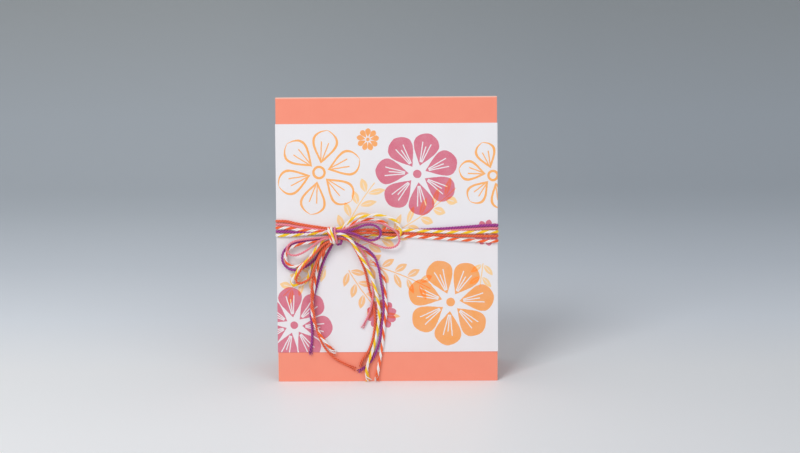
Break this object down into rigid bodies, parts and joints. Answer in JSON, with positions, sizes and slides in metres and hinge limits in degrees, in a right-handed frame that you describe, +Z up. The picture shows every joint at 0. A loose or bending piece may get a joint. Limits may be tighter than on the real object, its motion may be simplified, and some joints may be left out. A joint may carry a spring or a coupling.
{
  "type": "greeting card",
  "caption": "Folded greeting card that stands as a low tent, with a printed panel and a bow of twines round its front.",
  "frame": {"origin": "on the surface it stands on, midway between its side edges and between its two lower edges", "axes": "+X to the right seen from the front, -Y out of the printed front, +Z up to the fold"},
  "size_m": [0.1112, 0.0394, 0.1385],
  "materials": {
    "coral_card": "matt card stock",
    "white_card": "matt printed card",
    "purple_twine": "twisted cotton",
    "pink_twine": "twisted cotton",
    "yellow_twine": "twisted cotton, yellow and white",
    "orange_twine": "twisted cotton, orange and white",
    "coral_twine": "twisted cotton"
  },
  "bodies": {
    "root": {"card_base": "coral_card", "white_panel": "white_card", "bow_knot": "orange_twine", "purple_band": "purple_twine", "pink_band": "pink_twine", "yellow_band": "yellow_twine", "orange_band": "orange_twine", "coral_band": "coral_twine", "purple_right_loop": "purple_twine", "pink_right_loop": "pink_twine", "yellow_right_loop": "yellow_twine", "orange_right_loop": "orange_twine", "coral_right_loop": "coral_twine", "purple_left_loop": "purple_twine", "pink_left_loop": "pink_twine", "yellow_left_loop": "yellow_twine", "orange_left_loop": "orange_twine", "coral_left_loop": "coral_twine", "purple_right_tail": "purple_twine", "pink_right_tail": "pink_twine", "yellow_right_tail": "yellow_twine", "orange_right_tail": "orange_twine", "coral_right_tail": "coral_twine", "purple_left_tail": "purple_twine", "orange_left_tail": "orange_twine", "coral_left_tail": "coral_twine"}
  },
  "joints": []
}
